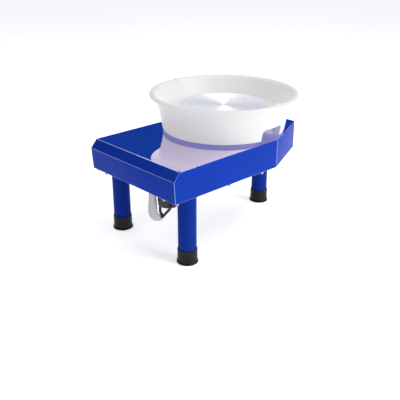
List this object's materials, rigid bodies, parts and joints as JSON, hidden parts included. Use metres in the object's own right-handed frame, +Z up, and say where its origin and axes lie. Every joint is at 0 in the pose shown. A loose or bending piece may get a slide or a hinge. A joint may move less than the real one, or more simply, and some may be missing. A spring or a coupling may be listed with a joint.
{
  "type": "pottery wheel",
  "caption": "Electric pottery wheel: blue sheet-steel body on legs, belt-driven aluminium wheel head inside a split white splash basin.",
  "frame": {"origin": "on the floor under the middle of the bounding box", "axes": "+X from the tail to the basin end, +Y to the side with the controls, +Z up along the wheel axis"},
  "size_m": [0.539, 0.412, 0.38],
  "materials": {
    "blue_paint": "glossy blue powder coat",
    "black_sheet": "satin black coat",
    "zinc_screws": "bright zinc",
    "zinc_sockets": "zinc-plated steel",
    "foot_rubber": "matt moulded rubber",
    "white_plastic": "glossy moulded plastic",
    "turned_aluminium": "face-turned, satin",
    "dark_screws": "black oxide",
    "ground_steel": "ground bright steel",
    "seal_rubber": "matt rubber",
    "cast_housing": "as cast, grey",
    "pulley_aluminium": "turned casting",
    "belt_rubber": "ribbed belt rubber",
    "motor_paint": "semi-gloss black",
    "rotor_copper": "lacquered copper windings",
    "black_plastic": "fine satin plastic",
    "lead_plastic": "soft cable sheath",
    "pale_conduit": "pale grey sheath",
    "brass_pins": "plated contacts",
    "red_plastic": "glossy red",
    "plated_metal": "nickel plate",
    "box_aluminium": "plain sheet",
    "board_green": "solder mask"
  },
  "bodies": {
    "chassis": {"top_cover": "blue_paint", "bottom_cover": "black_sheet", "cover_screws": "zinc_screws", "leg_socket_left": "zinc_sockets", "leg_socket_right": "zinc_sockets", "leg_socket_front": "zinc_sockets", "leg_tube_left": "blue_paint", "leg_tube_right": "blue_paint", "leg_tube_front": "blue_paint", "foot_cap_left": "foot_rubber", "foot_cap_right": "foot_rubber", "foot_cap_front": "foot_rubber", "shaft_seal": "seal_rubber", "bearing_housing": "cast_housing", "housing_bolts": "zinc_screws", "upper_bearing_outer": "ground_steel", "lower_bearing_outer": "ground_steel", "drive_belt": "belt_rubber", "motor_plate": "zinc_sockets", "motor_plate_bolts": "zinc_screws", "motor_front_cap": "zinc_sockets", "motor_case": "motor_paint", "motor_end_cap": "motor_paint", "motor_brush_caps": "black_plastic", "motor_leads": "lead_plastic", "lead_conduit": "pale_conduit", "conduit_grommet": "seal_rubber", "wiring_loom": "lead_plastic", "control_panel": "black_sheet", "panel_screws": "zinc_screws", "mains_inlet": "black_plastic", "inlet_pins": "brass_pins", "fuse_cap": "black_plastic", "power_switch_case": "black_plastic", "direction_switch_case": "black_plastic", "speed_control": "plated_metal", "pedal_socket": "plated_metal", "controller_box": "box_aluminium", "controller_lid": "box_aluminium", "control_board": "board_green"},
    "wheel": {"wheel_head": "turned_aluminium", "head_screws": "dark_screws", "spindle": "ground_steel", "spindle_nut": "zinc_sockets", "water_slinger": "seal_rubber", "upper_bearing_inner": "ground_steel", "lower_bearing_inner": "ground_steel", "bearing_balls": "ground_steel", "driven_pulley": "pulley_aluminium"},
    "rotor": {"motor_rotor": "rotor_copper", "motor_pulley": "turned_aluminium"},
    "power_rocker": {"power_rocker": "red_plastic"},
    "direction_rocker": {"direction_rocker": "black_plastic"},
    "speed_knob": {"speed_knob": "black_plastic"},
    "basin_tail": {"basin_tail_half": "white_plastic"},
    "basin_end": {"basin_end_half": "white_plastic", "basin_clips": "white_plastic"}
  },
  "joints": [
    {"name": "wheel_spin", "type": "hinge", "parent": "chassis", "child": "wheel", "pos_m": [0.0635, 0, 0.3], "axis": [0, 0, 1], "continuous": true},
    {"name": "rotor_spin", "type": "hinge", "parent": "chassis", "child": "rotor", "pos_m": [-0.1435, 0, 0.15], "axis": [0, 0, 1], "continuous": true},
    {"name": "power_rock", "type": "hinge", "parent": "chassis", "child": "power_rocker", "pos_m": [-0.0545, 0.172, 0.23], "axis": [1, 0, 0], "range_deg": [-20, 0]},
    {"name": "direction_rock", "type": "hinge", "parent": "chassis", "child": "direction_rocker", "pos_m": [-0.0305, 0.172, 0.23], "axis": [1, 0, 0], "range_deg": [-10, 10]},
    {"name": "speed_turn", "type": "hinge", "parent": "chassis", "child": "speed_knob", "pos_m": [0.0035, 0.172, 0.23], "axis": [0, -1, 0], "range_deg": [0, 300]},
    {"name": "basin_tail_slide", "type": "slide", "parent": "chassis", "child": "basin_tail", "axis": [-1, 0, 0], "range_m": [0, 0.35]},
    {"name": "basin_end_slide", "type": "slide", "parent": "chassis", "child": "basin_end", "axis": [1, 0, 0], "range_m": [0, 0.35]}
  ],
  "couplings": [
    {"joint": "rotor_spin", "follows": "wheel_spin", "ratio": 5}
  ]
}
